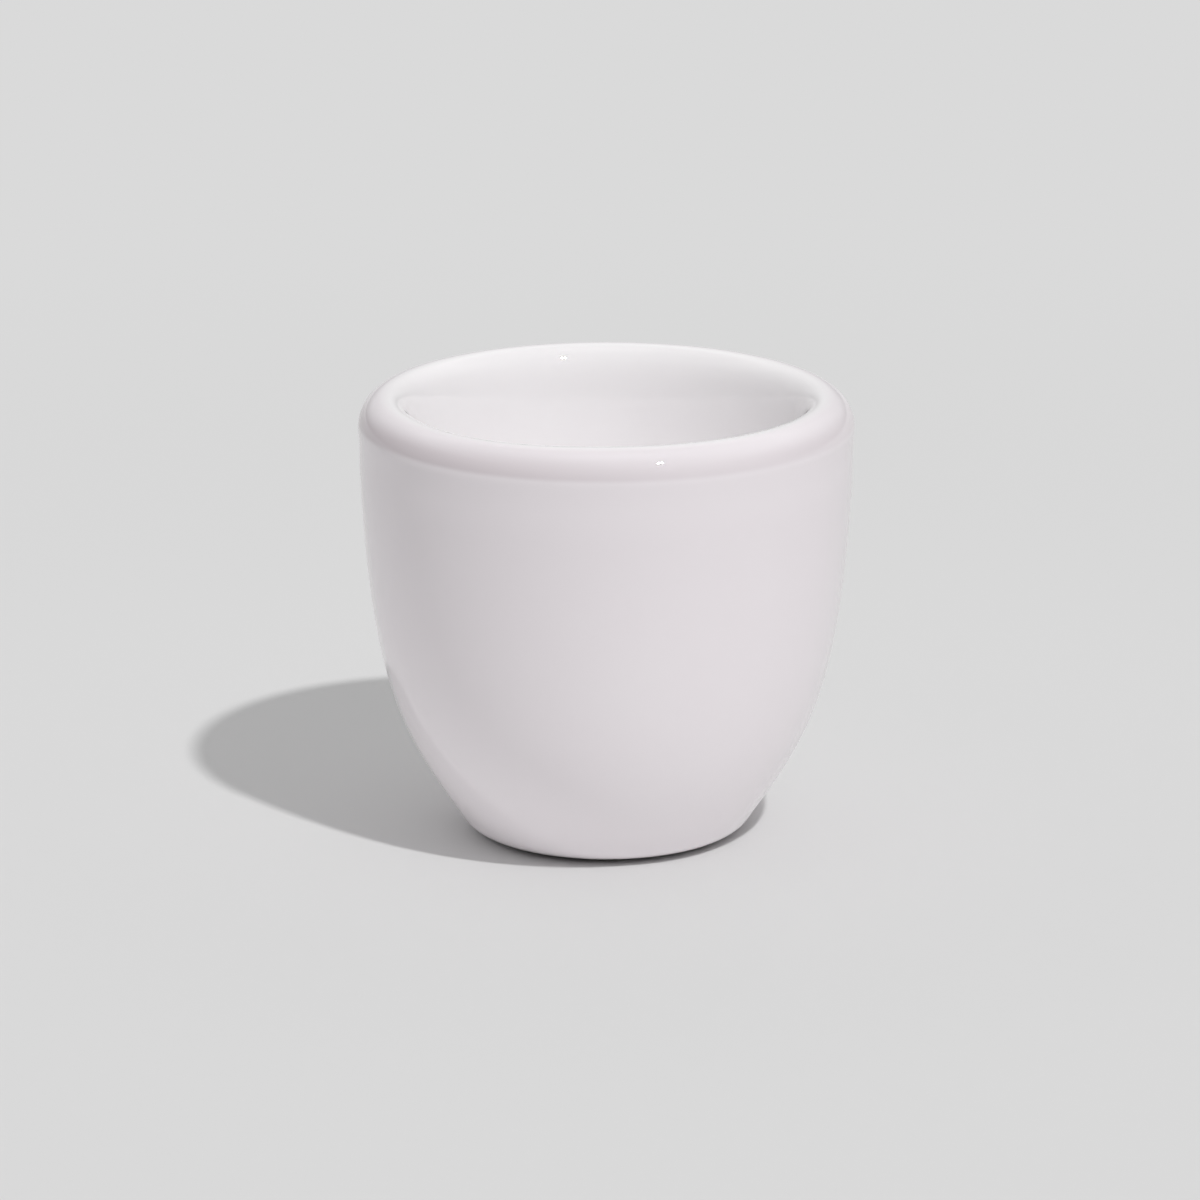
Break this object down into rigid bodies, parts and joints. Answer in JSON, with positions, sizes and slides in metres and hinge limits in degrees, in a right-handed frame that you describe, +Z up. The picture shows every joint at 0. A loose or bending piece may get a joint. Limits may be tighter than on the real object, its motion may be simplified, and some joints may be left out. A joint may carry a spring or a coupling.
{
  "type": "egg cup",
  "caption": "Small round glazed ceramic egg cup with a fat rounded lip, a tapered wall and a low foot ring, open at the top to hold one egg upright.",
  "frame": {"origin": "centre of the foot ring's flat face, which the cup stands on", "axes": "+Z up along the cup's axis of symmetry, X and Y in the plane of the table"},
  "size_m": [0.05, 0.05, 0.0454],
  "materials": {
    "clay": "matt, wiped bare",
    "glaze": "gloss"
  },
  "bodies": {
    "root": {"clay_body": "clay", "glaze_coat": "glaze", "base_glaze": "glaze"}
  },
  "joints": []
}
